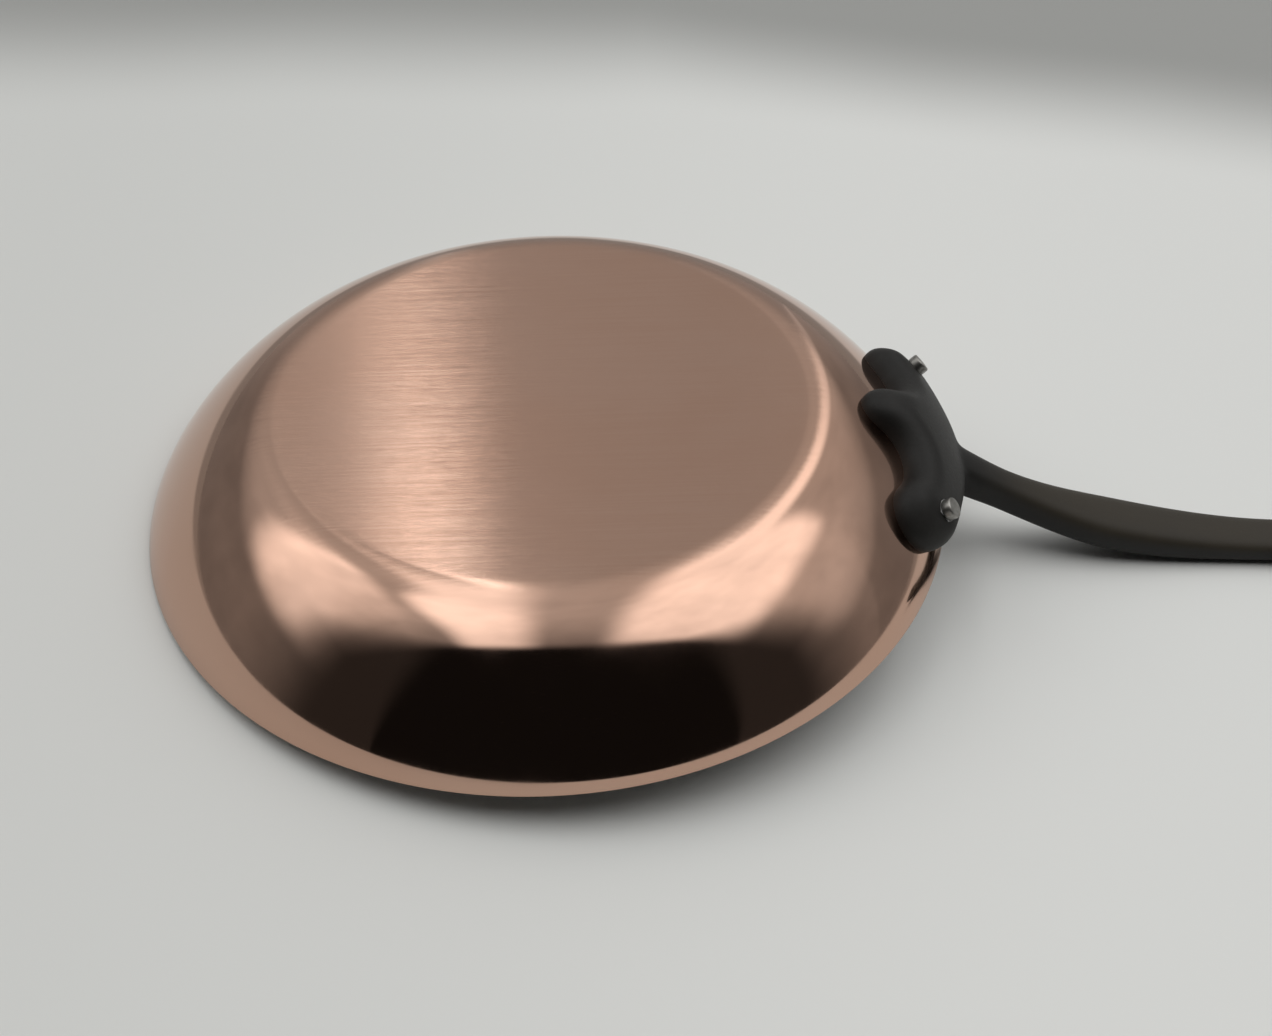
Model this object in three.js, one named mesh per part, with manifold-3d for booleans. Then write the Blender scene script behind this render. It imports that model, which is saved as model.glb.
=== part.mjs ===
// A frying pan: a copper bowl with a steel lining, and a cast-iron handle held on by two rivets.
// Sizes are in millimetres and degrees. The pan is drawn the right way up, with the middle of its
// base at the origin and the handle along +X. It is then turned over to lie on its rim and handle.

import * as THREE from 'three';
import { mergeVertices } from 'three/addons/utils/BufferGeometryUtils.js';
import Module from 'manifold-3d';

// Bowl
const rimDiameter = 280;
const baseDiameter = 180.8;
const bowlHeight = 43.4;
const rimFlare = 73.9; // slope of the wall at the rim
const bendPull = 17.1; // how far the wall's curve runs on from the base before it turns up
const flarePull = 17.5; // how far it keeps the rim's slope
const copperWall = 2.2;
const liningWall = 0.3;
const bondGap = 0.05;

// Handle plate. Its places are measured on the wall: across from the middle, and down from the rim.
const plateSpan = 101.8;
const plateThickness = 10.2;
const plateEdgeDrop = 3.5;
const lobeEdgeInset = 8.5; // the face falls away to its sides over this width
const lobeEdgeFall = 8.3;
const rimEdgeInset = 4;
const rimEdgeFall = 4;
const lobeRadius = 12;
const lobeDrop = 19.2;
const scallopAcross = 27;
const scallopDrop = 28.4;
const scallopPull = 8;
const tongueReach = 48;
const tongueTipRadius = 10;
const tongueTaper = 15;
const seatGap = 0.3;

// Stem. Its stations are measured along it from the plate.
const stemDrop = 1.5;
const stemOut = 7.5;
const stemAngle = 31;
const stemPull = 59.6;
const tipPull = 129.8;
const handleReach = 216; // from the rim to the tip
const handleRise = 37.2; // from the rim up to the middle of the tip
const rootDepth = 8;
const rootWidth = 17;
const rootThickness = 15;
const neckAt = 18;
const neckWidth = 14.6;
const neckThickness = 12.6;
const bellyAt = 66;
const bellyWidth = 22;
const bellyThickness = 13.7;
const gripAt = 128;
const gripWidth = 18.1;
const gripThickness = 9.9;
const tipWidth = 25;
const tipThickness = 8;
const sectionPower = 2.6; // 2 is an ellipse, and more is squarer
const eyeLength = 19;
const eyeWidth = 9;
const eyeMargin = 7; // iron left between the eye and the tip

// Rivets
const rivetSpacing = 74; // across the wall
const rivetDrop = 16.5;
const shankDiameter = 6;
const buttonDiameter = 7.3;
const buttonHeight = 3.3;
const buttonSink = 0.6; // depth of its flat seat in the plate
const buttonChamfer = 0.5;
const headDiameter = 12;
const headHeight = 2.4;
const headEdge = 0.9; // straight side of the head, under its dome
const rivetGap = 0.3;

// Facets
const bowlSegments = 72;
const wallSteps = 14;
const plateHalfPoints = 30;
const edgeSteps = 4;
const stemRings = 22;
const sectionPoints = 20;
const tipSteps = 5;
const rivetSegments = 24;
const domeSteps = 4;
const crestSamples = 200;
const weld = 1e-4;

const wasm = await Module();
wasm.setup();

const rimRadius = rimDiameter / 2;
const baseRadius = baseDiameter / 2;
const fullWall = copperWall + bondGap + liningWall;
const { degToRad, lerp, smoothstep } = THREE.MathUtils;

// The bowl's outer profile, from the edge of the flat base up to the rim
const rimPoint = new THREE.Vector2(rimRadius, bowlHeight);
const rimSlope = new THREE.Vector2(Math.cos(degToRad(rimFlare)), Math.sin(degToRad(rimFlare)));
const wallCurve = new THREE.CubicBezierCurve(
  new THREE.Vector2(baseRadius, 0),
  new THREE.Vector2(baseRadius + bendPull, 0),
  rimPoint.clone().addScaledVector(rimSlope, -flarePull),
  rimPoint,
);
const wallLength = wallCurve.getLength();

function wallNormal(down) {
  const tangent = wallCurve.getTangentAt(1 - down / wallLength);
  return new THREE.Vector2(tangent.y, -tangent.x);
}

function profilePoint(down, out) {
  return wallCurve.getPointAt(1 - down / wallLength).addScaledVector(wallNormal(down), out);
}

function surfaceProfile(out) {
  const points = [new THREE.Vector2(0, -out)];
  for (let step = 0; step <= wallSteps; step++) {
    points.push(profilePoint(wallLength * (1 - step / wallSteps), out));
  }
  return points;
}

function cutAtRim(points) {
  const last = points.pop();
  const before = points.at(-1);
  const share = (bowlHeight - before.y) / (last.y - before.y);
  points.push(before.clone().lerp(last, share));
  return points;
}

// A skin of the bowl between two depths, cut flat at the rim
function bowlSkin(outerDepth, innerDepth) {
  const outside = cutAtRim(surfaceProfile(-outerDepth));
  const inside = cutAtRim(surfaceProfile(-innerDepth));
  return turned([...outside, ...inside.reverse()], bowlSegments);
}

// A solid of revolution about Z
function turned(profile, segments) {
  return new THREE.LatheGeometry(profile, segments).rotateX(Math.PI / 2);
}

// A closed skin over a row of rings, with each end drawn in to a point
function loft(start, rings, end) {
  const count = rings[0].length;
  const points = [start, ...rings.flat(), end];
  const place = (ring, k) => 1 + ring * count + (k % count);
  const index = [];
  for (let k = 0; k < count; k++) {
    index.push(0, place(0, k + 1), place(0, k));
    for (let ring = 1; ring < rings.length; ring++) {
      index.push(place(ring - 1, k), place(ring - 1, k + 1), place(ring, k + 1));
      index.push(place(ring - 1, k), place(ring, k + 1), place(ring, k));
    }
    index.push(points.length - 1, place(rings.length - 1, k), place(rings.length - 1, k + 1));
  }
  return new THREE.BufferGeometry().setFromPoints(points).setIndex(index);
}

function toSolid(geometry) {
  const bare = geometry.clone();
  bare.deleteAttribute('normal');
  bare.deleteAttribute('uv');
  const merged = mergeVertices(bare, weld);
  const corners = merged.index.array;
  const triangles = [];
  for (let i = 0; i < corners.length; i += 3) {
    const [a, b, c] = corners.slice(i, i + 3);
    if (a !== b && b !== c && c !== a) {
      triangles.push(a, b, c);
    }
  }
  const vertProperties = merged.attributes.position.array;
  const triVerts = new Uint32Array(triangles);
  return new wasm.Manifold(new wasm.Mesh({ numProp: 3, vertProperties, triVerts }));
}

function toGeometry(solid) {
  const { vertProperties, triVerts } = solid.getMesh();
  const geometry = new THREE.BufferGeometry();
  geometry.setAttribute('position', new THREE.BufferAttribute(vertProperties, 3));
  geometry.setIndex(new THREE.BufferAttribute(triVerts, 1));
  geometry.computeVertexNormals();
  return geometry;
}

// Places on the wall, which the plate and the rivets share
const plateRadius = profilePoint(lobeDrop, 0).x;
const plateFace = seatGap + plateThickness;
const plateMiddleDrop = (plateEdgeDrop + scallopDrop) / 2;
const buttonSeat = plateFace - buttonSink;

function wallPoint(across, down, out) {
  const angle = across / plateRadius;
  const { x: radius, y: height } = profilePoint(down, out);
  return new THREE.Vector3(radius * Math.cos(angle), radius * Math.sin(angle), height);
}

function rivetPlace(side) {
  const across = (side * rivetSpacing) / 2;
  const foot = wallPoint(across, rivetDrop, 0);
  const outward = wallPoint(across, rivetDrop, 1).sub(foot);
  const turn = new THREE.Quaternion().setFromUnitVectors(new THREE.Vector3(0, 0, 1), outward);
  return new THREE.Matrix4().compose(foot, turn, new THREE.Vector3(1, 1, 1));
}

const rivetSides = { rivet_left: 1, rivet_right: -1 };

// Cuts a round hole on each rivet's axis, between two distances out from the wall
function drilled(solid, diameter, from, to) {
  const radius = diameter / 2 + rivetGap;
  const drill = new THREE.CylinderGeometry(radius, radius, to - from, rivetSegments).rotateX(Math.PI / 2);
  drill.translate(0, 0, (from + to) / 2);
  const holes = Object.values(rivetSides).map((side) => drill.clone().applyMatrix4(rivetPlace(side)));
  return holes.reduce((left, hole) => left.subtract(toSolid(hole)), solid);
}

// Half of the plate's outline, from its edge by the rim, round a lobe and a scallop, to the tongue
function halfOutline() {
  const lobeAcross = plateSpan / 2 - lobeRadius;
  const lobeTop = lobeDrop - lobeRadius;
  const lobeEnd = lobeDrop + lobeRadius;
  const edgePull = lobeAcross / 2;
  const lobePull = scallopPull / 2;
  const taper = degToRad(tongueTaper);
  const tipDrop = tongueReach - tongueTipRadius;
  const tipAcross = tongueTipRadius * Math.cos(taper);
  const sideEnd = tipDrop + tongueTipRadius * Math.sin(taper);
  const sideAcross = tipAcross + scallopPull * Math.sin(taper);
  const sideDrop = sideEnd - scallopPull * Math.cos(taper);
  const path = new THREE.Path();
  path.moveTo(0, plateEdgeDrop);
  path.bezierCurveTo(edgePull, plateEdgeDrop, edgePull, lobeTop, lobeAcross, lobeTop);
  path.absarc(lobeAcross, lobeDrop, lobeRadius, -Math.PI / 2, Math.PI / 2, false);
  const lobeSide = lobeAcross - lobePull;
  const scallopSide = scallopAcross + lobePull;
  path.bezierCurveTo(lobeSide, lobeEnd, scallopSide, scallopDrop, scallopAcross, scallopDrop);
  path.bezierCurveTo(scallopAcross - scallopPull, scallopDrop, sideAcross, sideDrop, tipAcross, sideEnd);
  path.absarc(0, tipDrop, tongueTipRadius, taper, Math.PI / 2, false);
  return path.getSpacedPoints(plateHalfPoints);
}

function plateOutline() {
  const half = halfOutline();
  const mirrored = half.slice(1, -1).reverse().map((point) => new THREE.Vector2(-point.x, point.y));
  return [...half, ...mirrored];
}

// A ring round the plate's edge, which is tighter along the rim than round the lobes and the tongue
function edgeRing(outline, turn) {
  return outline.map((point, k) => {
    const byDrop = smoothstep(point.y, plateEdgeDrop, lobeDrop);
    const byLobe = smoothstep(Math.abs(point.x), scallopAcross, plateSpan / 2);
    const share = Math.max(byDrop, byLobe);
    const inset = lerp(rimEdgeInset, lobeEdgeInset, share) * (1 - Math.sin(turn));
    const fall = lerp(rimEdgeFall, lobeEdgeFall, share) * (1 - Math.cos(turn));
    const after = outline[(k + 1) % outline.length];
    const along = after.clone().sub(outline.at(k - 1)).normalize();
    return { x: point.x - inset * along.y, y: point.y + inset * along.x, out: plateFace - fall };
  });
}

// The plate follows the wall, and its face is rounded off to its sides. It starts inside the wall.
function plateSolid() {
  const outline = plateOutline();
  const lay = (ring) => ring.map((point) => wallPoint(point.x, point.y, point.out));
  const shrunk = (ring, share) => ring.map((point) => ({
    x: point.x * share,
    y: lerp(plateMiddleDrop, point.y, share),
    out: point.out,
  }));
  const shares = [1 / 3, 2 / 3];
  const face = edgeRing(outline, 0);
  const back = outline.map((point) => ({ x: point.x, y: point.y, out: -copperWall }));
  const rings = shares.map((share) => shrunk(face, share));
  for (let step = 0; step <= edgeSteps; step++) {
    rings.push(edgeRing(outline, (Math.PI / 2) * (step / edgeSteps)));
  }
  rings.push(back, ...shares.toReversed().map((share) => shrunk(back, share)));
  const faceMiddle = wallPoint(0, plateMiddleDrop, plateFace);
  const backMiddle = wallPoint(0, plateMiddleDrop, -copperWall);
  return toSolid(loft(faceMiddle, rings.map(lay), backMiddle));
}

// The stem's middle line, in the plane of the handle
const stemStart = profilePoint(stemDrop, stemOut);
const stemDirection = new THREE.Vector2(Math.cos(degToRad(stemAngle)), Math.sin(degToRad(stemAngle)));
const tipPoint = new THREE.Vector2(rimRadius + handleReach, bowlHeight + handleRise);
const stemCurve = new THREE.CubicBezierCurve(
  stemStart,
  stemStart.clone().addScaledVector(stemDirection, stemPull),
  tipPoint.clone().sub(new THREE.Vector2(tipPull, 0)),
  tipPoint,
);
const stemLength = stemCurve.getLength();
const roundStart = stemLength - tipWidth / 2;

function stemFrame(at) {
  const share = Math.max(at, 0) / stemLength;
  const tangent = stemCurve.getTangentAt(share);
  const centre = stemCurve.getPointAt(share).addScaledVector(tangent, Math.min(at, 0));
  return {
    centre: new THREE.Vector3(centre.x, 0, centre.y),
    along: new THREE.Vector3(tangent.x, 0, tangent.y),
    across: new THREE.Vector3(0, 1, 0),
    up: new THREE.Vector3(-tangent.y, 0, tangent.x),
  };
}

const stations = [
  { at: -rootDepth, width: rootWidth, thickness: rootThickness },
  { at: neckAt, width: neckWidth, thickness: neckThickness },
  { at: bellyAt, width: bellyWidth, thickness: bellyThickness },
  { at: gripAt, width: gripWidth, thickness: gripThickness },
  { at: roundStart, width: tipWidth, thickness: tipThickness },
];

function stemSize(at) {
  const next = Math.max(1, stations.findIndex((station) => station.at >= at));
  const from = stations[next - 1];
  const to = stations[next];
  const share = smoothstep(at, from.at, to.at);
  return {
    width: lerp(from.width, to.width, share),
    thickness: lerp(from.thickness, to.thickness, share),
  };
}

function stemSection(at, width, thickness) {
  const { centre, across, up } = stemFrame(at);
  const squared = (value) => Math.sign(value) * Math.abs(value) ** (2 / sectionPower);
  const ring = [];
  for (let k = 0; k < sectionPoints; k++) {
    const turn = (2 * Math.PI * k) / sectionPoints;
    const side = (squared(Math.cos(turn)) * width) / 2;
    const rise = (squared(Math.sin(turn)) * thickness) / 2;
    ring.push(centre.clone().addScaledVector(across, side).addScaledVector(up, rise));
  }
  return ring;
}

// The stem swells from its neck to its belly, flattens towards the tip, and ends round
function stemSolid() {
  const rings = [];
  for (let step = 0; step < stemRings; step++) {
    const at = lerp(-rootDepth, roundStart, step / stemRings);
    const { width, thickness } = stemSize(at);
    rings.push(stemSection(at, width, thickness));
  }
  for (let step = 0; step < tipSteps; step++) {
    const turn = (Math.PI / 2) * (step / tipSteps);
    const at = roundStart + (tipWidth / 2) * Math.sin(turn);
    rings.push(stemSection(at, tipWidth * Math.cos(turn), tipThickness * Math.sqrt(Math.cos(turn))));
  }
  return toSolid(loft(stemFrame(-rootDepth).centre, rings, stemFrame(stemLength).centre));
}

function eyeSolid() {
  const endRadius = eyeWidth / 2;
  const straight = eyeLength / 2 - endRadius;
  const shape = new THREE.Shape();
  shape.absarc(straight, 0, endRadius, -Math.PI / 2, Math.PI / 2, false);
  shape.absarc(-straight, 0, endRadius, Math.PI / 2, -Math.PI / 2, false);
  const depth = 2 * tipThickness;
  const slot = new THREE.ExtrudeGeometry(shape, { depth, bevelEnabled: false }).translate(0, 0, -depth / 2);
  const { centre, along, across, up } = stemFrame(stemLength - eyeMargin - eyeLength / 2);
  slot.applyMatrix4(new THREE.Matrix4().makeBasis(along, across, up).setPosition(centre));
  return toSolid(slot);
}

// All that lies within the wall, carried on above the rim, which the handle has to stay clear of
function wallBlank() {
  const profile = surfaceProfile(seatGap);
  const rise = wallCurve.getTangentAt(1).multiplyScalar(rootWidth);
  const top = profile.at(-1).clone().add(rise);
  return toSolid(turned([...profile, top, new THREE.Vector2(0, top.y)], bowlSegments));
}

function handleSolid() {
  const casting = plateSolid().add(stemSolid()).subtract(wallBlank()).subtract(eyeSolid());
  const seated = drilled(casting, buttonDiameter, buttonSeat, plateFace + buttonHeight);
  return drilled(seated, shankDiameter, 0, plateFace);
}

// One rivet on its own axis: a low dome inside the bowl, a shank, and a button outside the plate
function rivetGeometry() {
  const headRadius = headDiameter / 2;
  const shankRadius = shankDiameter / 2;
  const buttonRadius = buttonDiameter / 2;
  const lining = profilePoint(rivetDrop, -fullWall);
  const edges = [headRadius, -headRadius].map((step) => profilePoint(rivetDrop + step, -fullWall));
  const hollow = Math.max(...edges.map((edge) => lining.clone().sub(edge).dot(wallNormal(rivetDrop))));
  const seat = -fullWall - hollow - rivetGap;
  const button = buttonSeat + rivetGap;
  const domeRise = headHeight - headEdge;
  const profile = [];
  for (let step = 0; step <= domeSteps; step++) {
    const turn = (Math.PI / 2) * (step / domeSteps);
    const radius = headRadius * Math.sin(turn);
    profile.push(new THREE.Vector2(radius, seat - headEdge - domeRise * Math.cos(turn)));
  }
  profile.push(
    new THREE.Vector2(headRadius, seat),
    new THREE.Vector2(shankRadius, seat),
    new THREE.Vector2(shankRadius, button),
    new THREE.Vector2(buttonRadius, button),
    new THREE.Vector2(buttonRadius, button + buttonHeight - buttonChamfer),
    new THREE.Vector2(buttonRadius - buttonChamfer, button + buttonHeight),
    new THREE.Vector2(0, button + buttonHeight),
  );
  return turned(profile, rivetSegments);
}

function piece(name, geometry, color, roughness) {
  const mesh = new THREE.Mesh(geometry, new THREE.MeshStandardMaterial({ color, roughness, metalness: 1 }));
  mesh.name = name;
  return mesh;
}

const copperSkin = toSolid(bowlSkin(0, copperWall));
const steelSkin = toSolid(bowlSkin(copperWall + bondGap, fullWall));
const copperShell = drilled(copperSkin, shankDiameter, -2 * fullWall, fullWall);
const steelLining = drilled(steelSkin, shankDiameter, -2 * fullWall, fullWall);

const pan = new THREE.Group();
pan.add(piece('copper_shell', toGeometry(copperShell), '#c58a6c', 0.2));
pan.add(piece('steel_lining', toGeometry(steelLining), '#c4c5c4', 0.35));
pan.add(piece('iron_handle', toGeometry(handleSolid()), '#34322f', 0.6));
for (const [name, side] of Object.entries(rivetSides)) {
  const rivet = piece(name, rivetGeometry(), '#a8a69f', 0.4);
  rivet.applyMatrix4(rivetPlace(side));
  pan.add(rivet);
}

// Turned over, the pan rests on the rim across from the handle and on the crest of the stem
function restTilt() {
  let tilt = 0;
  for (let sample = 0; sample <= crestSamples; sample++) {
    const at = (roundStart * sample) / crestSamples;
    const { centre, up } = stemFrame(at);
    const crest = centre.addScaledVector(up, stemSize(at).thickness / 2);
    tilt = Math.max(tilt, Math.atan2(crest.z - bowlHeight, crest.x + rimRadius));
  }
  return tilt;
}

pan.rotation.set(Math.PI, -restTilt(), 0, 'YXZ');
const fryingPan = new THREE.Group();
fryingPan.add(pan);

export default fryingPan;
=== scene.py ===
import bisect
import math

import bpy
import numpy as np
from mathutils import Matrix, Quaternion, Vector


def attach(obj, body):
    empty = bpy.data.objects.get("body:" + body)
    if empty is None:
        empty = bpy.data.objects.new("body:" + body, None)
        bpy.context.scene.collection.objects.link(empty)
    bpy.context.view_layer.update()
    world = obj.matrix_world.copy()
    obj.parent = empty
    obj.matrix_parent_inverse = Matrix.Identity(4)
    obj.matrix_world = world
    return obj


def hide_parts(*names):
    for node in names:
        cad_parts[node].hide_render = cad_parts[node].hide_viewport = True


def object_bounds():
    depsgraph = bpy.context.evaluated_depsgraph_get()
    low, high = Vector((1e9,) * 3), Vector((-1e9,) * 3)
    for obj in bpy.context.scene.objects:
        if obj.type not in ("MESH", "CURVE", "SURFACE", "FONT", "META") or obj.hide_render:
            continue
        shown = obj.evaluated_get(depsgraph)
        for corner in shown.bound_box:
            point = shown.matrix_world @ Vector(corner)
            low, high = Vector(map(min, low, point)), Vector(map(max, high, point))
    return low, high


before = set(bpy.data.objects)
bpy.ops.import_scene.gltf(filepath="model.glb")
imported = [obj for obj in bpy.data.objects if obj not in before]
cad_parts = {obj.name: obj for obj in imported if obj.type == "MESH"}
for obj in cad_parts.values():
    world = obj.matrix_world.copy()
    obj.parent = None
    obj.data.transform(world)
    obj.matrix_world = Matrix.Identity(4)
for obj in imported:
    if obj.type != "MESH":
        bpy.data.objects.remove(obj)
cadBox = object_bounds()
scene = bpy.context.scene
scene.view_settings.view_transform = "Standard"
print("frame loaded:", ", ".join(sorted(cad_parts)))

# Shapes are drawn in millimetres with the pan the right way up and the middle of its base at zero.
# turnedOver lays them upside down in the frame, in metres.
tilt = math.radians(5.5892)
turnedOver = Matrix((
    (math.cos(tilt), 0, math.sin(tilt), 0),
    (0, -1, 0, 0),
    (math.sin(tilt), 0, -math.cos(tilt), 0),
    (0, 0, 0, 1),
)) @ Matrix.Scale(0.001, 4)


class Wire:  # a socket that can be used in sums
    def __init__(self, tree, socket=None):
        self.tree = tree
        self.socket = socket

    def node(self, kind, settings, inputs, output=0):
        made = self.tree.nodes.new("ShaderNode" + kind)
        for name, value in settings.items():
            setattr(made, name, value)
        for name, value in inputs.items():
            if isinstance(value, Wire):
                self.tree.links.new(value.socket, made.inputs[name])
            else:
                made.inputs[name].default_value = value
        return Wire(self.tree, made.outputs[output] if len(made.outputs) else None)

    def sum(self, operation, first, second):
        return self.node("Math", {"operation": operation}, {0: first, 1: second})

    def __add__(self, other):
        return self.sum("ADD", self, other)

    def __radd__(self, other):
        return self.sum("ADD", other, self)

    def __sub__(self, other):
        return self.sum("SUBTRACT", self, other)

    def __rsub__(self, other):
        return self.sum("SUBTRACT", other, self)

    def __mul__(self, other):
        return self.sum("MULTIPLY", self, other)

    def __rmul__(self, other):
        return self.sum("MULTIPLY", other, self)

    def __truediv__(self, other):
        return self.sum("DIVIDE", self, other)

    def atLeast(self, other):
        return self.sum("MAXIMUM", self, other)

    def size(self):
        return self.node("Math", {"operation": "ABSOLUTE"}, {0: self})

    def ease(self, low, high):  # 0 below low, 1 above high, smooth between
        ends = {"Value": self, "From Min": low, "From Max": high}
        return self.node("MapRange", {"interpolation_type": "SMOOTHSTEP"}, ends)

    def mix(self, first, second):  # this share of the second colour
        return self.node("Mix", {"data_type": "RGBA"}, {0: self, 6: first, 7: second}, 2)

    def vector(self, operation, other, output=0):
        return self.node("VectorMath", {"operation": operation}, {0: self, 1: other}, output)

    def noise(self, scale, detail=2.0, rough=0.5):
        inputs = {"Vector": self, "Scale": scale, "Detail": detail, "Roughness": rough}
        return self.node("TexNoise", {}, inputs)

    def axes(self):
        split = self.node("SeparateXYZ", {}, {0: self})
        return [Wire(self.tree, out) for out in split.socket.node.outputs]


def newMaterial(name):
    made = bpy.data.materials.new(name)
    made.use_nodes = True
    made.node_tree.nodes.clear()
    return made, Wire(made.node_tree)


def surface(wire, inputs):
    shader = wire.node("BsdfPrincipled", {}, inputs)
    wire.node("OutputMaterial", {}, {"Surface": shader})


def panPlace(wire):  # places in metres, turned so that the bowl's axis is Z
    spot = wire.node("TexCoord", {}, {}, 3)
    return wire.node("VectorRotate", {"rotation_type": "Y_AXIS"}, {"Vector": spot, "Angle": tilt})


def leanNormal(wire, lean):  # the surface's normal, pushed over by a vector
    facing = wire.node("NewGeometry", {}, {}, 1)
    pushed = facing.vector("ADD", lean)
    return pushed.node("VectorMath", {"operation": "NORMALIZE"}, {0: pushed})


def meshPiece(name, points, faces, material, smooth=True):
    mesh = bpy.data.meshes.new(name)
    mesh.from_pydata(points, [], faces)
    mesh.transform(turnedOver)
    mesh.materials.append(material)
    mesh.update()
    if smooth:
        mesh.shade_smooth()
    made = bpy.data.objects.new(name, mesh)
    scene.collection.objects.link(made)
    return made


def latheShape(profile, segments):  # a profile of (radius, height) turned about Z, from axis to axis
    turns = [2 * math.pi * k / segments for k in range(segments)]
    points, rings = [], []
    for radius, height in profile:
        start = len(points)
        if radius < 1e-6:
            points.append((0, 0, height))
            rings.append([start] * segments)
        else:
            points += [(radius * math.cos(a), radius * math.sin(a), height) for a in turns]
            rings.append(list(range(start, start + segments)))
    faces = []
    for low, high in zip(rings, rings[1:]):
        for k in range(segments):
            n = (k + 1) % segments
            face = list(dict.fromkeys((low[k], low[n], high[n], high[k])))
            if len(face) > 2:
                faces.append(face)
    return points, faces


def loftShape(start, rings, end):  # a closed skin over rings, drawn in to a point at both ends
    count = len(rings[0])
    points = [start] + [point for ring in rings for point in ring] + [end]
    faces = []
    for k in range(count):
        n = (k + 1) % count
        faces.append((0, 1 + n, 1 + k))
        for r in range(len(rings) - 1):
            low, high = 1 + r * count, 1 + (r + 1) * count
            faces.append((low + k, low + n, high + n, high + k))
        last = 1 + (len(rings) - 1) * count
        faces.append((len(points) - 1, last + k, last + n))
    return points, faces


def applied(piece):  # runs the piece's modifiers into its mesh
    made = bpy.data.meshes.new_from_object(piece.evaluated_get(bpy.context.evaluated_depsgraph_get()))
    old = piece.data
    made.name = piece.name
    piece.modifiers.clear()
    piece.data = made
    bpy.data.meshes.remove(old)


def cutAway(piece, tool):
    cut = piece.modifiers.new("cut", "BOOLEAN")
    cut.operation = "DIFFERENCE"
    cut.solver = "MANIFOLD"
    cut.object = tool
    applied(piece)
    bpy.data.objects.remove(tool)


# Bowl

bowl = {
    "rim": 140.0, "base": 90.4, "height": 43.4,
    "flare": 73.9,  # slope of the wall at the rim
    "bendPull": 17.1, "flarePull": 17.5,
    "copper": 2.2, "bond": 0.05, "lining": 0.3,
    "segments": 480, "wallSteps": 72, "blankSteps": 60,
    "baseRings": (0, 20, 40, 60, 75, 84, 88),  # radii of the rings across the flat base
    "rimEase": 0.45, "liningEase": 0.08,  # radius of the cut rim's edges
}
bowl["inside"] = bowl["copper"] + bowl["bond"] + bowl["lining"]


def bezierLine(ends, steps):
    a, b, c, d = (Vector(end) for end in ends)
    line = []
    for k in range(steps + 1):
        t = k / steps
        s = 1 - t
        line.append(a * s ** 3 + b * 3 * t * s ** 2 + c * 3 * t * t * s + d * t ** 3)
    return line


class Line:  # a flat curve that is read by its length
    def __init__(self, ends, steps=2000):
        self.points = bezierLine(ends, steps)
        self.at = [0.0]
        for a, b in zip(self.points, self.points[1:]):
            self.at.append(self.at[-1] + (b - a).length)
        self.length = self.at[-1]

    def read(self, at):  # the point and the direction there
        k = min(max(bisect.bisect_right(self.at, at), 1), len(self.points) - 1)
        a, b = self.points[k - 1], self.points[k]
        share = (at - self.at[k - 1]) / (self.at[k] - self.at[k - 1])
        return a.lerp(b, share), (b - a).normalized()


flare = math.radians(bowl["flare"])
wallLine = Line((
    (bowl["base"], 0),
    (bowl["base"] + bowl["bendPull"], 0),
    (bowl["rim"] - bowl["flarePull"] * math.cos(flare),
     bowl["height"] - bowl["flarePull"] * math.sin(flare)),
    (bowl["rim"], bowl["height"]),
))


def wallSide(down, out):  # radius and height, down the wall from the rim and out from it
    spot, along = wallLine.read(wallLine.length - down)
    return spot + Vector((along.y, -along.x)) * out


def skinLine(depth):  # a bowl profile at a depth in the wall, from the axis to the rim's level
    line = [Vector((radius, depth)) for radius in bowl["baseRings"]]
    for k in range(bowl["wallSteps"] + 1):
        line.append(wallSide(wallLine.length * (1 - k / bowl["wallSteps"]), -depth))
    before, last = line[-2], line[-1]
    if abs(last.y - before.y) > 1e-6:
        line[-1] = before.lerp(last, (bowl["height"] - before.y) / (last.y - before.y))
    return line


def easedCorner(before, corner, after, radius, steps=5):
    start = corner + (before - corner).normalized() * radius
    end = corner + (after - corner).normalized() * radius
    shares = [k / steps for k in range(steps + 1)]
    return [start * (1 - t) ** 2 + corner * 2 * t * (1 - t) + end * t * t for t in shares]


def skinShape(outer, inner, ease):  # the bowl between two depths, with its rim edges eased
    outside, inside = skinLine(outer), skinLine(inner)
    edge = easedCorner(outside[-2], outside[-1], inside[-1], ease)
    lip = easedCorner(outside[-1], inside[-1], inside[-2], ease)
    return latheShape([*outside[:-1], *edge, *lip, *inside[:-1][::-1]], bowl["segments"])


# Places on the wall, which the plate and the rivets share

plate = {
    "span": 101.8, "thickness": 10.2, "edgeDrop": 3.5,
    "lobeInset": 8.5, "lobeFall": 8.3,  # rounding of the face's edge round the lobes and the tongue
    "rimInset": 4.0, "rimFall": 4.0,  # and along the rim
    "lobeRadius": 12.0, "lobeDrop": 19.2,
    "scallopAcross": 27.0, "scallopDrop": 28.4, "scallopPull": 8.0,
    "tongueReach": 48.0, "tongueRadius": 10.0, "tongueTaper": 15.0,
    "tipLoss": 0.28, "tipFrom": 32.0,  # share of its thickness that it loses towards the tongue's tip
    "endLoss": 0.34, "endFrom": 37.0,  # and past the rivets, towards the lobes' ends
    "seat": 0.3, "fit": 0.01,  # the gap that is drawn behind it
    "clear": 20.0,  # how far the wall's shape is cut out past the rim
    "points": 260, "lineSteps": 60, "edgeSteps": 14, "faceSteps": 12,
}
plate["face"] = plate["seat"] + plate["thickness"]
plate["middle"] = (plate["edgeDrop"] + plate["scallopDrop"]) / 2
plate["radius"] = wallSide(plate["lobeDrop"], 0).x

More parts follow.
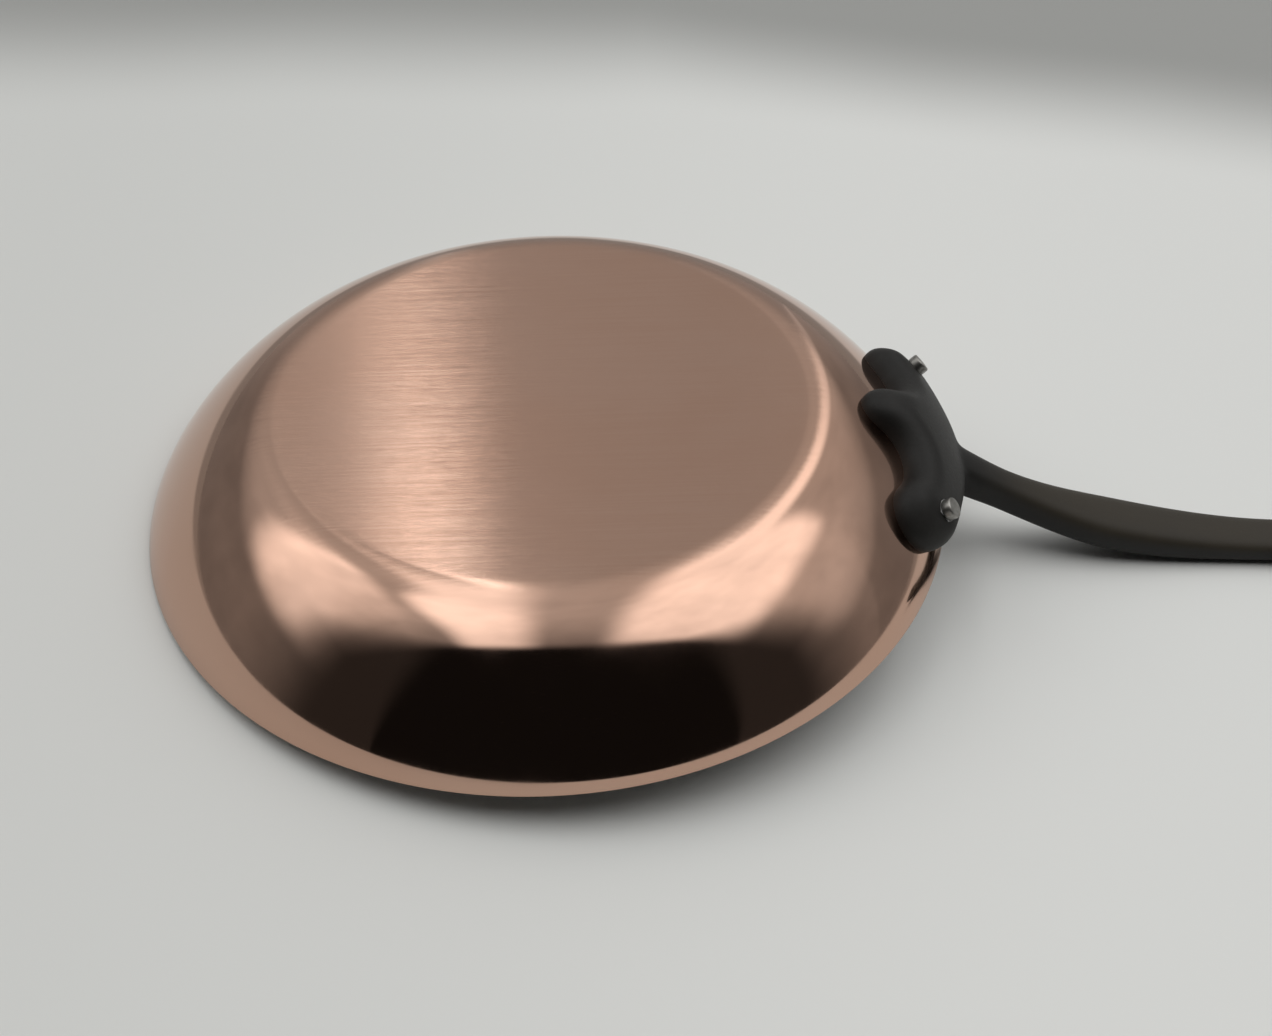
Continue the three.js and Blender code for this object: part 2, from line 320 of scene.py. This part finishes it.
rivet = {
    "spacing": 74.0, "drop": 16.5, "shank": 6.0,
    "button": 7.3, "buttonHeight": 3.3, "buttonSink": 0.6, "buttonEase": 0.9,
    "head": 12.0, "headHeight": 2.4, "headEdge": 0.9,
    "edgeEase": 0.2, "crown": (0.03, 0.05),  # the button's rise, halfway in and in the middle
    "gap": 0.3, "segments": 96, "headSteps": 14,
}
rivet["seat"] = plate["face"] - rivet["buttonSink"]
rivetSides = {"rivet_left": 1, "rivet_right": -1}


def wallSpot(across, down, out):
    angle = across / plate["radius"]
    side = wallSide(down, out)
    return Vector((side.x * math.cos(angle), side.x * math.sin(angle), side.y))


def rivetPlace(side):  # where a rivet's axis leaves the wall, with Z outward
    across = side * rivet["spacing"] / 2
    foot = wallSpot(across, rivet["drop"], 0)
    outward = wallSpot(across, rivet["drop"], 1) - foot
    return Matrix.Translation(foot) @ Vector((0, 0, 1)).rotation_difference(outward).to_matrix().to_4x4()


def rivetHoles(piece, diameter, low, high):  # drills the piece on both rivets' axes
    radius = diameter / 2 + rivet["gap"]
    profile = [Vector(at) for at in ((0, low), (radius, low), (radius, high), (0, high))]
    for side in rivetSides.values():
        points, faces = latheShape(profile, rivet["segments"])
        points = [rivetPlace(side) @ Vector(point) for point in points]
        cutAway(piece, meshPiece("drill", points, faces, None, False))


# Copper

copper = {
    "fresh": (0.565, 0.366, 0.280, 1), "warm": (0.55, 0.345, 0.258, 1),
    "wallRough": 0.05, "wallHaze": 0.05,
    "baseRough": 0.06, "baseHaze": 0.03,
    "brushEdge": (0.0915, 0.1030),  # where the brushing gives way to the polish, from the axis
    "edgeNoise": 90, "edgeWander": 0.0015,
    "lines": (14, 1200), "hairs": (150, 160000),  # brush marks to a metre, along X and across it
    "shear": 20000,  # moves the hairs along as they go across, so that the noise's cells don't line up
    "lean": (0.15, 0.95),  # how far the marks and the hairs tip the surface
    "clouds": 38, "hazeSpan": (0.35, 0.75),
    "tint": 14, "tintSpan": (0.3, 0.7), "lineTint": 0.9,
}


def copperFinish():
    made, wire = newMaterial("copperFinish")
    place = panPlace(wire)
    flat = place.vector("MULTIPLY", (1, 1, 0))
    radius = flat.node("VectorMath", {"operation": "LENGTH"}, {0: flat}, 1)
    ragged = place.noise(copper["edgeNoise"], 3) - 0.5
    brushed = 1 - (radius + ragged * copper["edgeWander"]).ease(*copper["brushEdge"])
    along, across, _ = place.axes()
    marks = {"X": along * copper["lines"][0], "Y": across * copper["lines"][1]}
    lines = wire.node("CombineXYZ", {}, marks).noise(1, 4, 0.7) - 0.5
    marks = {"X": along * copper["hairs"][0] + across * copper["shear"], "Y": across * copper["hairs"][1]}
    hairs = wire.node("CombineXYZ", {}, marks).noise(1, 1) - 0.5
    tip = (lines * copper["lean"][0] + hairs * copper["lean"][1]) * brushed
    lean = wire.node("CombineXYZ", {}, {"Y": tip})
    clouds = place.noise(copper["clouds"], 4, 0.6)
    rough = clouds.ease(*copper["hazeSpan"]) * copper["wallHaze"] + copper["wallRough"]
    satin = clouds * copper["baseHaze"] + copper["baseRough"]
    rough = rough + (satin - rough) * brushed
    tint = (lines * brushed * copper["lineTint"] + place.noise(copper["tint"], 3)).ease(*copper["tintSpan"])
    surface(wire, {
        "Base Color": tint.mix(copper["fresh"], copper["warm"]),
        "Metallic": 1.0,
        "Roughness": rough,
        "Normal": leanNormal(wire, lean),
    })
    return made


copperShape = skinShape(0, bowl["copper"], bowl["rimEase"])
copperShell = meshPiece("copperShell", *copperShape, copperFinish())
rivetHoles(copperShell, rivet["shank"], -2 * bowl["inside"], bowl["inside"])
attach(copperShell, "root")
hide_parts("copper_shell")
print("copper shell:", len(copperShell.data.polygons), "faces")

# Lining

lining = {
    "bright": (0.56, 0.56, 0.55, 1), "dull": (0.50, 0.50, 0.49, 1),
    "rough": 0.27, "haze": 0.12, "clouds": 22, "tintSpan": (0.3, 0.7),
    "rings": 2600, "wander": 30, "lean": 0.5,  # turning marks
}


def liningFinish():
    made, wire = newMaterial("liningFinish")
    place = panPlace(wire)
    flat = place.vector("MULTIPLY", (1, 1, 0))
    radius = flat.node("VectorMath", {"operation": "LENGTH"}, {0: flat}, 1)
    turns = wire.node("CombineXYZ", {}, {"X": radius * lining["rings"]})
    wander = turns.vector("ADD", flat.vector("MULTIPLY", (lining["wander"], lining["wander"], 0)))
    rings = wander.noise(1, 2) - 0.5
    outward = flat.node("VectorMath", {"operation": "NORMALIZE"}, {0: flat})
    push = {0: outward, "Scale": rings * lining["lean"]}
    lean = outward.node("VectorMath", {"operation": "SCALE"}, push)
    clouds = place.noise(lining["clouds"], 3)
    surface(wire, {
        "Base Color": clouds.ease(*lining["tintSpan"]).mix(lining["bright"], lining["dull"]),
        "Metallic": 1.0,
        "Roughness": clouds * lining["haze"] + lining["rough"],
        "Normal": leanNormal(wire, lean),
    })
    return made


liningDepth = bowl["copper"] + bowl["bond"]
liningShape = skinShape(liningDepth, bowl["inside"], bowl["liningEase"])
steelLining = meshPiece("steelLining", *liningShape, liningFinish())
rivetHoles(steelLining, rivet["shank"], -2 * bowl["inside"], bowl["inside"])
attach(steelLining, "root")
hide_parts("steel_lining")
print("steel lining:", len(steelLining.data.polygons), "faces")

# Handle

stem = {
    "drop": 1.5, "out": 7.5, "angle": 31.0, "pull": 59.6, "tipPull": 129.8,
    "reach": 216.0, "rise": 37.2, "rootDepth": 8.0, "power": 2.6,
    # places along it, each with its width and thickness
    "stations": ((-8, 17, 15), (18, 14.6, 12.6), (66, 22, 13.7), (128, 18.1, 9.9)),
    "tipWidth": 25.0, "tipThickness": 8.0,
    "eyeLength": 19.0, "eyeWidth": 9.0, "eyeMargin": 7.0,
    "rings": 110, "sectionPoints": 72, "tipSteps": 16, "eyePoints": 64,
}
casting = {
    "voxel": 0.00055, "rounds": 6,
    "step": 0.5, "core": 1.6,  # a point's share of a round, and how wide the full share is about a place
    "filletSpan": 15.0, "filletRounds": 60,  # softer where the stem grows out of the plate
    "faceSpan": 95.0, "faceRounds": 24,  # and all over the plate
    "dark": (0.0140, 0.0131, 0.0121, 1), "worn": (0.0250, 0.0235, 0.0217, 1),
    "litBrown": (0.0435, 0.0362, 0.0262, 1), "stemFrom": (0.150, 0.185),  # where the stem's top begins, which is painted a lighter brown as painted light
    "rise": (-0.1, 0.75), "litTop": (0.5, 0.7),  # how far up a place faces to be painted lighter, and the patchy share of that painted light
    "rough": 0.46, "clouds": 55, "cloudHaze": 0.12, "cloudSpan": (0.4, 0.75), "cloudWear": 0.55,
    "edgeSpan": (0.52, 0.60), "edgeWear": 0.5,
    "grain": 1500, "grainHaze": 0.25, "grainDepth": 0.00009, "pits": 420, "pitSpan": (0.3, 0.45),
    "grainShare": 0.6, "pitShare": 0.4, "relief": 0.5, "shine": 0.25,
    "sharp": 50,  # edges sharper than this, in degrees, stay sharp
}


def smoothShare(value, low, high):
    share = min(max((value - low) / (high - low), 0), 1)
    return share * share * (3 - 2 * share)


def plateHalf():  # the outline of one half, from the rim's edge round a lobe and a scallop to the tongue
    lobe = plate["span"] / 2 - plate["lobeRadius"]
    top, end = plate["lobeDrop"] - plate["lobeRadius"], plate["lobeDrop"] + plate["lobeRadius"]
    pull, scallop, low = plate["scallopPull"], plate["scallopAcross"], plate["scallopDrop"]
    taper = math.radians(plate["tongueTaper"])
    tipDrop = plate["tongueReach"] - plate["tongueRadius"]
    tipAcross = plate["tongueRadius"] * math.cos(taper)
    sideEnd = tipDrop + plate["tongueRadius"] * math.sin(taper)
    side = (tipAcross + pull * math.sin(taper), sideEnd - pull * math.cos(taper))
    edge, steps = plate["edgeDrop"], plate["lineSteps"]

    def arc(across, drop, radius, first, last):
        turns = [first + (last - first) * k / steps for k in range(steps + 1)]
        return [Vector((across + radius * math.cos(a), drop + radius * math.sin(a))) for a in turns]

    rimSide = ((0, edge), (lobe / 2, edge), (lobe / 2, top), (lobe, top))
    lobeSide = ((lobe, end), (lobe - pull / 2, end), (scallop + pull / 2, low), (scallop, low))
    tongueSide = ((scallop, low), (scallop - pull, low), side, (tipAcross, sideEnd))
    path = bezierLine(rimSide, steps)
    path += arc(lobe, plate["lobeDrop"], plate["lobeRadius"], -math.pi / 2, math.pi / 2)
    path += bezierLine(lobeSide, steps)
    path += bezierLine(tongueSide, steps)
    path += arc(0, tipDrop, plate["tongueRadius"], taper, math.pi / 2)
    return path


def evenly(path, count):  # points at even steps along a path
    at = [0.0]
    for a, b in zip(path, path[1:]):
        at.append(at[-1] + (b - a).length)
    spaced = []
    for k in range(count + 1):
        want = at[-1] * k / count
        i = min(max(bisect.bisect_right(at, want), 1), len(path) - 1)
        share = (want - at[i - 1]) / max(at[i] - at[i - 1], 1e-9)
        spaced.append(path[i - 1].lerp(path[i], min(share, 1)))
    return spaced


def plateRing(outline, turn):  # a ring round the face's edge, (across, down, out)
    ring = []
    for k, point in enumerate(outline):
        byDrop = smoothShare(point.y, plate["edgeDrop"], plate["lobeDrop"])
        byLobe = smoothShare(abs(point.x), plate["scallopAcross"], plate["span"] / 2)
        share = max(byDrop, byLobe)
        inset = plate["rimInset"] + (plate["lobeInset"] - plate["rimInset"]) * share
        fall = plate["rimFall"] + (plate["lobeFall"] - plate["rimFall"]) * share
        along = (outline[(k + 1) % len(outline)] - outline[k - 1]).normalized()
        inset *= 1 - math.sin(turn)
        ring.append((point.x - inset * along.y, point.y + inset * along.x,
                     plate["face"] - fall * (1 - math.cos(turn))))
    return ring


def thinned(across, drop, out):  # the plate's face and sides, lower towards its three ends
    tip = plate["tipLoss"] * smoothShare(drop, plate["tipFrom"], plate["tongueReach"])
    end = plate["endLoss"] * smoothShare(abs(across), plate["endFrom"], plate["span"] / 2)
    return across, drop, out * (1 - tip - end) if out > 0 else out


def plateShape():
    half = evenly(plateHalf(), plate["points"] // 2)
    outline = half + [Vector((-point.x, point.y)) for point in half[-2:0:-1]]
    shares = [k / plate["faceSteps"] for k in range(1, plate["faceSteps"])]

    def shrunk(ring, share):
        middle = plate["middle"]
        return [(x * share, middle + (y - middle) * share, out) for x, y, out in ring]

    turns = [math.pi / 2 * k / plate["edgeSteps"] for k in range(plate["edgeSteps"] + 1)]
    edge = [plateRing(outline, turn) for turn in turns]
    back = [(point.x, point.y, -bowl["copper"]) for point in outline]
    rings = [shrunk(edge[0], share) for share in shares] + edge
    rings += [back] + [shrunk(back, share) for share in shares[::-1]]
    laid = [[wallSpot(*thinned(*point)) for point in ring] for ring in rings]
    middle = plate["middle"]
    return loftShape(wallSpot(0, middle, plate["face"]), laid, wallSpot(0, middle, -bowl["copper"]))


stemStart = wallSide(stem["drop"], stem["out"])
stemTip = Vector((bowl["rim"] + stem["reach"], bowl["height"] + stem["rise"]))
stemLean = math.radians(stem["angle"])
stemLine = Line((
    stemStart,
    stemStart + Vector((math.cos(stemLean), math.sin(stemLean))) * stem["pull"],
    stemTip - Vector((stem["tipPull"], 0)),
    stemTip,
))
roundStart = stemLine.length - stem["tipWidth"] / 2


def stemFrame(at):
    spot, along = stemLine.read(max(at, 0))
    spot = spot + along * min(at, 0)
    return Vector((spot.x, 0, spot.y)), Vector((along.x, 0, along.y)), Vector((-along.y, 0, along.x))


def stemSize(at):
    stations = (*stem["stations"], (roundStart, stem["tipWidth"], stem["tipThickness"]))
    for low, high in zip(stations, stations[1:]):
        if at <= high[0]:
            break
    share = smoothShare(at, low[0], high[0])
    return [low[k] + (high[k] - low[k]) * share for k in (1, 2)]


def stemSection(at, width, thickness):
    spot, _, up = stemFrame(at)
    ring = []
    for k in range(stem["sectionPoints"]):
        turn = 2 * math.pi * k / stem["sectionPoints"]
        c, s = math.cos(turn), math.sin(turn)
        side = math.copysign(abs(c) ** (2 / stem["power"]), c) * width / 2
        rise = math.copysign(abs(s) ** (2 / stem["power"]), s) * thickness / 2
        ring.append(spot + Vector((0, side, 0)) + up * rise)
    return ring


def stemShape():
    rings = []
    for k in range(stem["rings"]):
        at = -stem["rootDepth"] + (roundStart + stem["rootDepth"]) * k / stem["rings"]
        rings.append(stemSection(at, *stemSize(at)))
    for k in range(stem["tipSteps"]):
        turn = math.pi / 2 * k / stem["tipSteps"]
        at = roundStart + stem["tipWidth"] / 2 * math.sin(turn)
        across, thick = math.cos(turn), math.sqrt(math.cos(turn))
        rings.append(stemSection(at, stem["tipWidth"] * across, stem["tipThickness"] * thick))
    return loftShape(stemFrame(-stem["rootDepth"])[0], rings, stemFrame(stemLine.length)[0])


def eyeShape():
    radius = stem["eyeWidth"] / 2
    straight = stem["eyeLength"] / 2 - radius
    spot, along, up = stemFrame(stemLine.length - stem["eyeMargin"] - stem["eyeLength"] / 2)
    rings = []
    for height in (-stem["tipThickness"], stem["tipThickness"]):
        ring = []
        for k in range(stem["eyePoints"]):
            turn = 2 * math.pi * (k + 0.5) / stem["eyePoints"]
            far = straight if math.cos(turn) > 0 else -straight
            ring.append(spot + along * (far + radius * math.cos(turn))
                        + Vector((0, radius * math.sin(turn), 0)) + up * height)
        rings.append(ring)
    return loftShape(spot - up * stem["tipThickness"], rings, spot + up * stem["tipThickness"])


def soften(piece, rounds, near=None, span=1):  # moves each point towards its neighbours
    mesh = piece.data
    spots = np.empty(len(mesh.vertices) * 3)
    mesh.vertices.foreach_get("co", spots)
    spots = spots.reshape(-1, 3)
    ends = np.empty(len(mesh.edges) * 2, int)
    mesh.edges.foreach_get("vertices", ends)
    ends = np.concatenate([ends.reshape(-1, 2), ends.reshape(-1, 2)[:, ::-1]])
    count = np.bincount(ends[:, 0], minlength=len(spots))[:, None]
    share = np.full((len(spots), 1), casting["step"])
    if near is not None:
        away = np.linalg.norm(spots - np.array(near), axis=1) / span
        share = casting["step"] * np.clip(casting["core"] * (1 - away), 0, 1)[:, None] ** 2
    for _ in range(rounds):
        total = [np.bincount(ends[:, 0], spots[ends[:, 1], k], len(spots)) for k in range(3)]
        spots += (np.stack(total, 1) / count - spots) * share
    mesh.vertices.foreach_set("co", spots.ravel())
    mesh.update()


def ironFinishAndTopLight():
    made, wire = newMaterial("ironFinishAndTopLight")
    place = wire.node("TexCoord", {}, {}, 3)
    clouds = place.noise(casting["clouds"], 4, 0.6)
    grain = place.noise(casting["grain"], 3, 0.65)
    pits = place.noise(casting["pits"], 2, 0.5).ease(*casting["pitSpan"])
    edges = wire.node("NewGeometry", {}, {}, 7).ease(*casting["edgeSpan"])
    worn = clouds.ease(*casting["cloudSpan"]) * casting["cloudWear"] + edges * casting["edgeWear"]
    rise = wire.node("NewGeometry", {}, {}, 1).axes()[2].ease(*casting["rise"])
    patches = clouds * casting["litTop"][0] + casting["litTop"][1]
    # painted light: the stem's upward faces are painted a lighter brown, as if lit from above
    litTop = place.axes()[0].ease(*casting["stemFrom"]) * rise * patches
    height = grain * casting["grainShare"] + pits * casting["pitShare"]
    relief = {"Strength": casting["relief"], "Distance": casting["grainDepth"], "Height": height}
    bump = height.node("Bump", {}, relief)
    haze = (grain - 0.5) * casting["grainHaze"] + clouds * casting["cloudHaze"]
    surface(wire, {
        "Base Color": litTop.mix(worn.mix(casting["dark"], casting["worn"]), casting["litBrown"]),
        "Specular IOR Level": casting["shine"],
        "Roughness": haze + casting["rough"],
        "Normal": bump,
    })
    return made


def ironCasting():
    made = meshPiece("ironHandle", *stemShape(), ironFinishAndTopLight())
    cutAway(made, meshPiece("eye", *eyeShape(), None, False))
    blank = meshPiece("plateBlank", *plateShape(), None, False)
    with bpy.context.temp_override(active_object=made, selected_editable_objects=[made, blank]):
        bpy.ops.object.join()
    remesh = made.modifiers.new("remesh", "REMESH")
    remesh.mode = "VOXEL"
    remesh.voxel_size = casting["voxel"]
    applied(made)
    root = turnedOver @ Vector((stemStart.x, 0, stemStart.y))
    face = turnedOver @ wallSpot(0, plate["lobeDrop"], plate["face"])
    soften(made, casting["rounds"])
    soften(made, casting["filletRounds"], root, casting["filletSpan"] / 1000)
    soften(made, casting["faceRounds"], face, casting["faceSpan"] / 1000)
    steps = bowl["blankSteps"]
    line = [wallSide(wallLine.length * (1 - k / steps), plate["fit"]) for k in range(steps + 1)]
    slope = wallLine.read(wallLine.length)[1]
    top = line[-1] + slope * plate["clear"]
    inside = [Vector((0, -plate["seat"])), *line, top, Vector((0, top.y))]
    cutAway(made, meshPiece("wallBlank", *latheShape(inside, bowl["segments"]), None, False))
    rivetHoles(made, rivet["button"], rivet["seat"], plate["face"] + rivet["buttonHeight"])
    rivetHoles(made, rivet["shank"], 0, plate["face"])
    made.data.shade_smooth()
    made.data.set_sharp_from_angle(angle=math.radians(casting["sharp"]))
    return made


ironHandle = ironCasting()
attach(ironHandle, "root")
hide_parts("iron_handle")
print("iron handle:", len(ironHandle.data.polygons), "faces")

# Rivets

rivetSteel = {
    "bright": (0.36, 0.35, 0.33, 1), "dull": (0.25, 0.243, 0.228, 1),
    "rough": 0.32, "haze": 0.12, "clouds": 420, "tintSpan": (0.3, 0.7),
    "scuffs": (500, 2600, 900), "scuffDepth": 0.00003, "relief": 0.12,
    "sharp": 40,
}


def rivetFinish():
    made, wire = newMaterial("rivetFinish")
    place = wire.node("TexCoord", {}, {}, 3)
    clouds = place.noise(rivetSteel["clouds"], 3, 0.6)
    scuffs = place.vector("MULTIPLY", rivetSteel["scuffs"]).noise(1, 2)
    relief = {"Strength": rivetSteel["relief"], "Distance": rivetSteel["scuffDepth"], "Height": scuffs}
    bump = scuffs.node("Bump", {}, relief)
    surface(wire, {
        "Base Color": clouds.ease(*rivetSteel["tintSpan"]).mix(rivetSteel["bright"], rivetSteel["dull"]),
        "Metallic": 1.0,
        "Roughness": clouds * rivetSteel["haze"] + rivetSteel["rough"],
        "Normal": bump,
    })
    return made


def rivetProfile():
    head, shank, button = rivet["head"] / 2, rivet["shank"] / 2, rivet["button"] / 2
    inside = -bowl["inside"]
    along = wallLine.read(wallLine.length - rivet["drop"])[1]
    outward = Vector((along.y, -along.x))
    hollow = max((wallSide(rivet["drop"], inside) - wallSide(rivet["drop"] + step, inside)).dot(outward)
                 for step in (head, -head))
    seat = inside - hollow - rivet["gap"]
    low = rivet["seat"] + rivet["gap"]
    top = low + rivet["buttonHeight"]
    rise = rivet["headHeight"] - rivet["headEdge"]
    turns = [math.pi / 2 * k / rivet["headSteps"] for k in range(rivet["headSteps"] + 1)]
    profile = [Vector((head * math.sin(a), seat - rivet["headEdge"] - rise * math.cos(a))) for a in turns]
    headEdge, neck, collar = Vector((head, seat)), Vector((shank, seat)), Vector((shank, low))
    buttonFoot, buttonEdge = Vector((button, low)), Vector((button, top))
    profile += easedCorner(profile[-1], headEdge, neck, rivet["edgeEase"], 3)
    profile += [neck, collar]
    profile += easedCorner(collar, buttonFoot, buttonEdge, rivet["edgeEase"], 3)
    profile += easedCorner(buttonFoot, buttonEdge, Vector((0, top)), rivet["buttonEase"], 6)
    half, middle = rivet["crown"]
    profile += [Vector((button * 0.5, top + half)), Vector((0, top + middle))]
    return profile


rivetMaterial = rivetFinish()
for node, side in rivetSides.items():
    points, faces = latheShape(rivetProfile(), rivet["segments"])
    points = [rivetPlace(side) @ Vector(point) for point in points]
    name = "rivetLeft" if side > 0 else "rivetRight"
    made = meshPiece(name, points, faces, rivetMaterial)
    made.data.set_sharp_from_angle(angle=math.radians(rivetSteel["sharp"]))
    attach(made, "root")
    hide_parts(node)
print("rivets:", len(rivetSides))

# Floor

# Painted shade: the floor is painted darker on the left than on the right, and grey towards the back, where
# the light falls off.
floorLook = {
    "left": (0.77, 0.78, 0.765, 1), "right": (0.89, 0.90, 0.885, 1), "across": (-0.24, 0.2),
    "far": (0.41, 0.415, 0.405, 1), "turn": (0.295, 0.415),  # where it turns to a painted grey shade, away from the front
    "middle": 0.05, "bow": 0.12, "ragged": (3, 0.04),  # bends and wanders that line
    "rough": 0.75, "shine": 0.2, "radius": 14.0, "corners": 96,
}


def floorToneAndPaintedShade():
    made, wire = newMaterial("floorToneAndPaintedShade")
    place = wire.node("TexCoord", {}, {}, 3)
    side, away, _ = place.axes()
    # painted shade: darker to the left, lighter to the right
    near = side.ease(*floorLook["across"]).mix(floorLook["left"], floorLook["right"])
    bow = (side - floorLook["middle"]).size() * floorLook["bow"]
    ragged = (place.noise(floorLook["ragged"][0], 2) - 0.5) * floorLook["ragged"][1]
    # painted shade: the floor turns grey away from the front, where less light reaches
    far = (away + bow + ragged).ease(*floorLook["turn"])
    surface(wire, {
        "Base Color": far.mix(near, floorLook["far"]),
        "Roughness": floorLook["rough"],
        "Specular IOR Level": floorLook["shine"],
    })
    return made


def floorPiece():
    level, radius, count = cadBox[0].z, floorLook["radius"], floorLook["corners"]
    turns = [2 * math.pi * k / count for k in range(count)]
    rim = [(radius * math.cos(a), radius * math.sin(a), level) for a in turns]
    mesh = bpy.data.meshes.new("floor")
    mesh.from_pydata(rim, [], [list(range(count))])
    mesh.materials.append(floorToneAndPaintedShade())
    made = bpy.data.objects.new("floor", mesh)
    scene.collection.objects.link(made)
    return made


floorPiece()
print("floor at", round(cadBox[0].z, 4))

# Light

# A soft canopy, open to the front, laid out on a roof one unit above the pan. X is to the right there and
# Y is to the back, and a span is where an area of light fades in or out.
canopy = {
    "tone": (1.0, 0.995, 0.98, 1), "strength": 1.66,
    "horizon": 0.03,  # the lowest height that is laid out
    "folds": 0.8, "foldScale": 4,
    "front": 0.485, "slope": (0.09, 0.13), "slack": (0.25, 0.2),  # where the roof ends, left and right
    "frontFrom": 0.5, "frontSoft": (0.3, 0.04), "middle": (-0.3, 0.3),
    "dark": 0.005, "darkSide": 0.015, "darkSpan": (0, 0.3),  # what is left past that
    "backdrop": 0.55,  # what the camera sees past the floor
}
roof = {
    "over": 0.38, "front": 0.15, "frontSpan": (-0.55, -0.1),
    "back": 0.26, "backSpan": (0.45, 0.75),
    "left": 0.06, "leftSpan": (-0.27, -0.15), "right": 0.08, "rightSpan": (0.0, 0.12),
    "low": 0.12, "lowBack": 0.085, "lowSpan": (2.0, 10), "lowTurn": (0.2, 0.85),  # near the floor
    "least": 0.05,
}
rightPanel = {
    "gain": 0.68, "inner": (0.06, 0.23), "outer": (0.87, 1.16), "shift": 0.2, "fade": 0.95,
    "backSpan": (0.36, 0.55),
}
leftPanel = {
    "gain": 0.88, "inner": (-0.76, -0.60), "outer": (-2.9, -2.0), "rise": 0.4, "least": 0.05,
    "turn": (0.46, 0.74), "turnLeast": 0.3, "backSpan": (0.35, 1.05),
}
leftBar = {
    "gain": 0.68, "outer": (-0.65, -0.51), "inner": (-0.26, -0.10), "backSpan": (0.5, 0.8),
    "backShift": 0.14, "backFrom": (0, 0.25), "frontShift": 0.1, "frontFrom": (-0.5, 0),
}
backBar = {"gain": 2.9, "at": -0.176, "half": 0.045, "from": (0.5, 0.8), "fade": 0.93, "fadeSpan": (0.8, 1.0)}
rightBar = {
    "gain": 0.68, "at": 0.25, "shift": 0.33, "half": (0.05, 0.19), "from": (0.3, 0.55),
    "fades": ((0.5, 0.85, 1.4), (0.7, 1.4, 3.2)),  # each a share and its span
}


def roofLight(aim, x, y):
    aside = x.size()
    back = y.ease(*roof["backSpan"])
    low = (x * x + y * y).ease(*roof["lowSpan"])
    behind = 1 - (aside / y.atLeast(roof["least"])).ease(*roof["lowTurn"])
    sides = (1 - aim.ease(*roof["leftSpan"])) * roof["left"] + aim.ease(*roof["rightSpan"]) * roof["right"]
    made = roof["front"] + (roof["over"] - roof["front"]) * y.ease(*roof["frontSpan"])
    made = made + (sides + (roof["back"] - roof["over"])) * back
    return made + (behind * roof["lowBack"] + roof["low"] - made) * low


def panelLight(x, y):
    spread = y / x.size().atLeast(leftPanel["turnLeast"])
    right = x.ease(*rightPanel["inner"]) * rightPanel["gain"]
    right = right * (1 - (x - y * rightPanel["shift"]).ease(*rightPanel["outer"]) * rightPanel["fade"])
    right = right * (1 - y.ease(*rightPanel["backSpan"]))
    left = (1 - x.ease(*leftPanel["inner"])) * x.ease(*leftPanel["outer"]) * leftPanel["gain"]
    left = left * (spread + leftPanel["rise"]).atLeast(leftPanel["least"])
    left = left * (1 - spread.ease(*leftPanel["turn"])) * (1 - y.ease(*leftPanel["backSpan"]))
    return right + left


def barLight(aim, x, y):
    bend = y.ease(*leftBar["backFrom"]) * leftBar["backShift"]
    bend = bend + (1 - y.ease(*leftBar["frontFrom"])) * leftBar["frontShift"]
    left = (x - bend).ease(*leftBar["outer"]) * (1 - x.ease(*leftBar["inner"]))
    left = left * (1 - y.ease(*leftBar["backSpan"])) * leftBar["gain"]
    back = (1 - (aim - backBar["at"]).size().ease(0, backBar["half"])) * y.ease(*backBar["from"])
    back = back * (1 - y.ease(*backBar["fadeSpan"]) * backBar["fade"]) * backBar["gain"]
    slant = (x - y * rightBar["shift"] - rightBar["at"]).size()
    right = (1 - slant.ease(*rightBar["half"])) * y.ease(*rightBar["from"]) * rightBar["gain"]
    for share, *span in rightBar["fades"]:
        right = right * (1 - y.ease(*span) * share)
    return left + back + right


def openFront(x, y):  # how far a place is under the roof, 0 past its front
    past = (x.size() - canopy["frontFrom"]).atLeast(0)
    hand = x.ease(*canopy["middle"])
    slope, slack = [hand * (canopy[k][1] - canopy[k][0]) + canopy[k][0] for k in ("slope", "slack")]
    edge = (canopy["front"] - past * slope).atLeast(x.size() * slack)
    soft = past * canopy["frontSoft"][0] + canopy["frontSoft"][1]
    return (y + edge).ease(0 - soft, soft)


def canopyLight():
    world = bpy.data.worlds.new("canopy")
    world.use_nodes = True
    world.node_tree.nodes.clear()
    scene.world = world
    wire = Wire(world.node_tree)
    sky = wire.node("TexCoord", {}, {}, 0)
    folds = (sky.noise(canopy["foldScale"], 3, 0.55) - 0.5) * canopy["folds"] + 1
    aim, y, z = sky.axes()
    up = z.atLeast(canopy["horizon"])
    x, y = aim / up, y / up
    glow = roofLight(aim, x, y) + panelLight(x, y) + barLight(aim, x, y)
    dark = (x.size() + y).ease(*canopy["darkSpan"]) * canopy["darkSide"] + canopy["dark"]
    shine = (glow * folds * openFront(x, y) + dark) * canopy["strength"]
    seen = wire.node("LightPath", {}, {}, 0)
    strength = shine + (canopy["backdrop"] - shine) * seen
    light = wire.node("Background", {}, {"Color": canopy["tone"], "Strength": strength})
    wire.node("OutputWorld", {}, {"Surface": light})


canopyLight()
print("light set")

# Camera

camera = {
    "spot": (-0.01329, -0.51119, 0.40169), "aim": (0.03757, 0.01006, -0.06276),
    "roll": 6.0784, "lens": 53.774, "sensor": 36, "near": 0.01, "far": 100,
}


def setCamera():
    made = bpy.data.objects.new("camera", bpy.data.cameras.new("camera"))
    scene.collection.objects.link(made)
    look = Vector(camera["aim"]) - Vector(camera["spot"])
    roll = Quaternion((0, 0, 1), math.radians(camera["roll"]))
    made.location = camera["spot"]
    made.rotation_mode = "QUATERNION"
    made.rotation_quaternion = look.to_track_quat("-Z", "Y") @ roll
    made.data.sensor_width = camera["sensor"]
    made.data.lens = camera["lens"]
    made.data.clip_start = camera["near"]
    made.data.clip_end = camera["far"]
    scene.camera = made


setCamera()
print("camera set")
